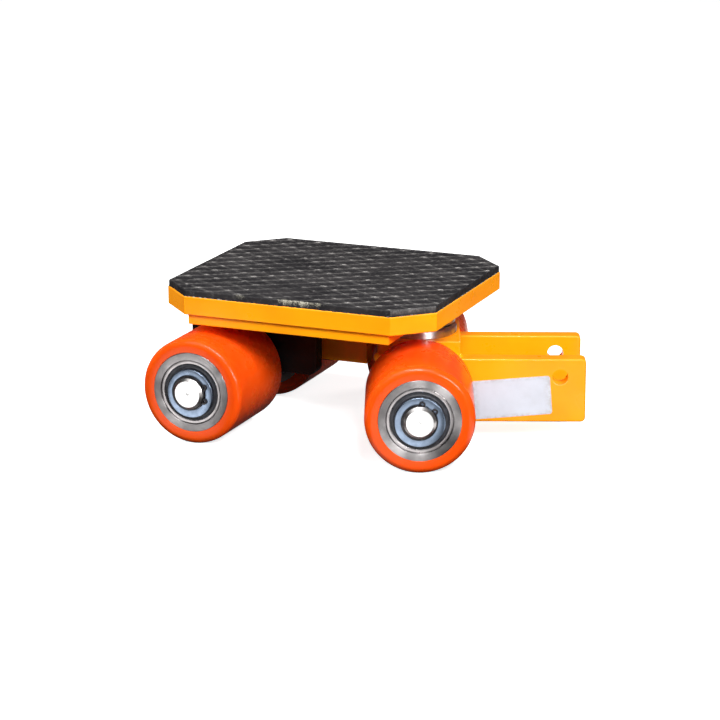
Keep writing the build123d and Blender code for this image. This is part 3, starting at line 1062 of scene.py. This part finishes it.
def glue_at(points):
    """Old glue from 0 to 1: a few stretches of the front edge that fade at their ends and inwards, and
    are thick or thin by chance."""
    x = (points[..., 0] - pad_middle[0]) / mm
    inwards = (points[..., 1] - pad_low[1] - pad_round) / glue_reach
    shares = [share * np.exp(-(((x - middle) / half) ** 2)) for middle, half, share in glue_stretches]
    chance = 0.90 + 0.25 * clouds(points[..., :1], 9 * mm, 7)
    return np.sum(shares, axis=0) * np.clip(1 - inwards, 0, 1) * chance


# %% Grid of the tread
corner_rows, straight_rows, columns = 36, 200, 290
worn_share, worn_size = 0.20, 55 * mm
nicked_share, nicked_size = 0.22, 6 * mm
rows = np.r_[
    np.linspace(-half_width, -straight, corner_rows, endpoint=False),
    np.linspace(-straight, straight, straight_rows, endpoint=False),
    np.linspace(straight, half_width, corner_rows + 1),
]
reach = half_length - np.maximum(np.abs(rows) - straight, 0)
x = reach[:, None] * np.linspace(-1, 1, columns)
y = np.broadcast_to(rows[:, None], x.shape)
corner_gap = (half_length + half_width - pad_cut - np.abs(x) - np.abs(y)) / np.sqrt(2)
rim_gap = np.minimum(np.minimum(half_length - np.abs(x), half_width - np.abs(y)), corner_gap)
flat = np.stack([x, y], axis=-1)
worn = 1 - worn_share * np.clip(clouds(flat, worn_size, 3), 0, 1)
worn -= nicked_share * np.abs(clouds(flat, nicked_size, 4))
rim = np.clip(1 - rim_gap / plain_rim, 0, 1)
ridge = np.maximum(lozenge_net(x, y) * worn, low_shaded_ridge * rim)
height = pad_high[2] - tread_depth * (1 - np.maximum(ridge, rim))
top = np.stack([x + pad_middle[0], y + pad_middle[1], height], axis=-1)
print("tread height, mm:", round(float(np.ptp(height) / mm), 2), "grid", top.shape[:2])

# %% [markdown]
# The pad's side is the border of that grid, carried outwards and down: a quarter round, then a wall
# that is slightly ragged, because the sheet was cut by hand. Dried glue stands proud of it. The corner
# beside the drawbar is scuffed grey. The lid underneath runs from the last ring to its middle.

# %% Pad with its cut side
rag_height, rag_size = 0.10 * mm, 9 * mm
lump_height, lump_size = 0.35 * mm, 2.5 * mm
scuff_share = 0.62
border = np.concatenate([top[0, :-1], top[:-1, -1], top[-1, :0:-1], top[:0:-1, 0]])
bend = np.linspace(0, np.pi / 2, 5)
wall = np.linspace(1, 0, 5)[1:]
out = np.r_[np.sin(bend), np.ones(len(wall))] * pad_round
share = np.r_[np.zeros(len(bend)), 1 - wall]
round_z = border[:, 2] - (1 - np.cos(bend))[:, None] * pad_round
wall_z = round_z[-1] * wall[:, None] + pad_low[2] * (1 - wall[:, None])
ring_z = np.concatenate([round_z, wall_z])
ragged = rag_height * (clouds(border[:, :2], rag_size, 5) - 1.5)
ragged = ragged * np.minimum(out / pad_round, 1)[:, None]
lumps = np.clip(clouds(border[:, :2], lump_size, 6), 0, 1)
proud = lump_height * glue_at(border) * lumps * np.sqrt(share)[:, None]
moves = out[:, None] + ragged + proud
from_middle = border[:, :2] - pad_middle[:2]
on_corner = from_middle[:, 0] - from_middle[:, 1] > half_length + half_width - pad_cut - 0.1 * mm
scuffed = scuff_share * on_corner * np.clip(1.2 - share, 0, 1)[:, None]
loops = [offset_outline(border[:, :2], -move[:, None]) for move in moves]
skirt = np.stack([np.c_[loop, z] for loop, z in zip(loops, ring_z)])
lid_middle = np.array([pad_middle[0], pad_middle[1], pad_low[2]])
lid = np.stack([skirt[-1], np.broadcast_to(lid_middle, skirt[-1].shape)])
stuck = glue_at(skirt) * (1 - 0.8 * share)[:, None]
sides = [
    patch(skirt, wrap_columns=True, residue=stuck, ridge=scuffed),
    patch(lid, wrap_columns=True),
]
face = patch(top, ridge=ridge, residue=glue_at(top))
make_piece("lozenge_pad", [face] + sides, "deck", rubber, ["deck_pad"], sharp=60.0)

# %% [markdown]
# The pad is stuck down with contact glue. A little of it squeezed out and dried as a thin ragged bead
# along the foot of the pad, pale where it is thick. It is a tube whose radius comes and goes.

# %% Squeezed-out glue
squeeze_radius, squeeze_gap = 0.45 * mm, 0.1 * mm
foot_steps, tube_steps = 1600, 10
pale_right, pale_fade = 76 * mm, 12 * mm
pale_left, pale_half = -70 * mm, 22 * mm
foot = offset_outline(border[:, :2], -(pad_round + squeeze_gap))
foot = resample(foot, foot_steps, closed=True)
angle = np.linspace(0, 2 * np.pi, tube_steps, endpoint=False)
thick = np.clip(0.62 + 0.38 * clouds(foot, 6 * mm, 8), 0.25, 1.0)
rings = np.stack([
    offset_outline(foot, -(squeeze_radius * thick * np.cos(turn))[:, None]) for turn in angle
])
rises = pad_low[2] + squeeze_radius * thick * np.sin(angle)[:, None]
ahead = foot[:, 0] - pad_middle[0]
right_end = np.clip((ahead - pale_right) / pale_fade, 0, 1)
left_front = np.exp(-(((ahead - pale_left) / pale_half) ** 4)) * (foot[:, 1] < 0)
pale = np.maximum(0.6 * right_end, left_front) * thick + np.zeros((len(angle), 1))
tube = np.concatenate([rings, rises[..., None]], axis=-1)
squeezed = patch(tube, wrap_rows=True, wrap_columns=True, residue=pale, ridge=0.0)
make_piece("glue_bead", [squeezed], "deck", rubber, sharp=80.0)

# %% [markdown]
# ## Welds
#
# The skate is welded from plates. A weld is a row of frozen puddles: each one laps over the last in a
# crescent. The bead here is a tube along the joint, sunk into the corner, whose radius swells and
# sinks once for each puddle. The crescent comes from a phase that leads in the middle of the bead.

# %% Bead helper
bead_radius, bead_sunk, bead_step, bead_sides = 4.6 * mm, 1.5 * mm, 0.45 * mm, 28
puddle, puddle_swell, puddle_lead = 2.3 * mm, 0.045, 0.55
uneven_share, uneven_size = 0.06, 11 * mm


def bead(path, seed, hang=1.0):
    """Tube along a level path: point = path - sunk * (out + hang * up) + size * (cosine * out + sine *
    hang * up). Out is to the right of the walk. Size has the puddles, some chance, and round ends."""
    length = np.linalg.norm(np.diff(path, axis=0), axis=1).sum()
    line = resample(path, int(length / bead_step))
    out = np.cross(unit(np.gradient(line, axis=0)), up)
    walked = np.linspace(0, length, len(line))
    to_end = np.clip(np.minimum(walked, length - walked) / bead_radius, 0, 1)
    angle = np.linspace(0, 2 * np.pi, bead_sides, endpoint=False)
    lead = puddle_lead * np.cos(angle - np.pi / 4)
    puddles = puddle_swell * np.cos(2 * np.pi * (walked[:, None] / puddle + lead))
    uneven = uneven_share * clouds(line, uneven_size, seed)[:, None]
    size = bead_radius * np.sqrt(1 - (1 - to_end) ** 2)[:, None] * (1 + puddles + uneven)
    centre = line - bead_sunk * (out + hang * up)
    spread = np.cos(angle)[None, :, None] * out[:, None] + np.sin(angle)[None, :, None] * hang * up
    return patch(centre[:, None] + size[..., None] * spread, wrap_columns=True)


# %% [markdown]
# The plate of the bogie lies on the two arms, and a bead runs round it on the narrow ledge that each
# arm leaves. The cheeks and the rib hang from the deck with a bead along each face, and the side
# rails are tacked on with short stitches.

# %% Welds of the bogie
plate_low, plate_high = spans("bogie_plate", bogie_ahead, bogie_left, pivot)
arm_low, _ = spans("left_drawbar_arm", bogie_ahead, bogie_left, pivot)
ledge_overlap = 3.0 * mm
turn_in = arm_low[1] + ledge_overlap
bogie_welds = []
for side, seed in ((1, 11), (-1, 12)):
    ends = [(plate_high[0], side * turn_in), (plate_high[0], side * plate_high[1])]
    ends += [(plate_low[0], side * plate_high[1]), (plate_low[0], side * turn_in)]
    path = np.array(ends if side > 0 else ends[::-1])
    floor_point = pivot + up * plate_low[2]
    bogie_welds.append(bead(floor_point + path[:, :1] * bogie_ahead + path[:, 1:] * bogie_left, seed))
make_piece("bogie_plate_welds", bogie_welds, "bogie", weld_enamel, sharp=60.0)

# %% Welds under the deck
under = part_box("deck_plate")[0][2]
stitch, stitch_margin, bead_margin = 30 * mm, 12 * mm, 4 * mm


def under_deck(x0, x1, y, side, seed):
    """Bead below the deck along x at one y. Side is 1 where the open air is towards +y."""
    ends = np.array([(x0, y, under), (x1, y, under)])
    return bead(ends if side < 0 else ends[::-1], seed, hang=-1.0)


def both_faces(node, seed):
    """The two beads of a plate that hangs from the deck, one along each face."""
    low, high = np.array(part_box(node))
    run = low[0] + bead_margin, high[0] - bead_margin
    return [under_deck(*run, low[1], -1, seed), under_deck(*run, high[1], 1, seed + 1)]


cheek_welds = both_faces("right_rear_cheek", 21) + both_faces("left_rear_cheek", 23)
make_piece("cheek_welds", cheek_welds, "deck", black_enamel, sharp=60.0)
deck_welds = both_faces("centre_rib", 25)
for node, side, seed in (("right_side_rail", 1, 31), ("left_side_rail", -1, 41)):
    low, high = np.array(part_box(node))
    inner_edge = high[1] if side > 0 else low[1]
    starts = np.linspace(low[0] + stitch_margin, high[0] - stitch_margin - stitch, 4)
    runs = [(x0, x0 + stitch) for x0 in starts]
    deck_welds += [under_deck(*run, inner_edge, side, seed + k) for k, run in enumerate(runs)]
make_piece("deck_welds", deck_welds, "deck", weld_enamel, sharp=60.0)

# %% [markdown]
# ## Sticker
#
# The skate has a plain sticker on its right arm, put on by hand and not quite level. The film is a
# rounded rectangle: rings of points run from its rim to its middle. It lies on the paint, and small
# bubbles and one tired corner lift it a little.

# %% Blank sticker
sticker_middle, sticker_turn = np.array([73.2, -6.5]) * mm, np.radians(4.6)
sticker_half, sticker_round, film_thick = np.array([31.0, 15.7]) * mm, 2.2 * mm, 0.14 * mm
rim_steps, film_rings = 240, 40
bubble_height, bubble_size = 0.03 * mm, 14 * mm
tired_height, tired_reach = 0.25 * mm, 3.5 * mm

right_low, _ = spans("right_drawbar_arm", bogie_ahead, bogie_left, axle_lines["front"][0])
corners = np.array([(-1, -1), (1, -1), (1, 1), (-1, 1)]) * sticker_half
rim = resample(rounded(corners, sticker_round, 8), rim_steps, closed=True)
shares = np.r_[1.0, np.linspace(0.995, 0.0, film_rings)]
flat = shares[:, None, None] * rim
bubbles = np.clip(clouds(flat, bubble_size, 51), 0, 2) * bubble_height * (shares < 1)[:, None]
from_corner = np.linalg.norm(flat - corners[2] * 0.97, axis=-1)
tired = tired_height * np.exp(-((from_corner / tired_reach) ** 2))
lifted = film_thick + bubbles + tired
cosine, sine = np.cos(sticker_turn), np.sin(sticker_turn)
ahead = sticker_middle[0] + flat[..., 0] * cosine - flat[..., 1] * sine
rise = sticker_middle[1] + flat[..., 0] * sine + flat[..., 1] * cosine


def on_arm(proud):
    """Points on the arm's outer face, standing proud of it by a distance."""
    out = right_low[1] - proud
    origin = axle_lines["front"][0]
    return origin + ahead[..., None] * bogie_ahead + out[..., None] * bogie_left + rise[..., None] * up


front, back = on_arm(lifted), on_arm(np.zeros_like(lifted))
rim_share = np.broadcast_to(shares[:, None], lifted.shape)
grids = [patch(front, wrap_columns=True, rim=rim_share), patch(back, wrap_columns=True)]
grids.append(patch(np.stack([front[0], back[0]]), wrap_columns=True, rim=1.0))
make_piece("blank_sticker", grids, "bogie", film, sharp=50.0)

# %% [markdown]
#
# The dressed skate must keep the size of the solids. The last cell measures the box of the dressed
# skate.

# %% Box of the dressed skate
low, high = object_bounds()
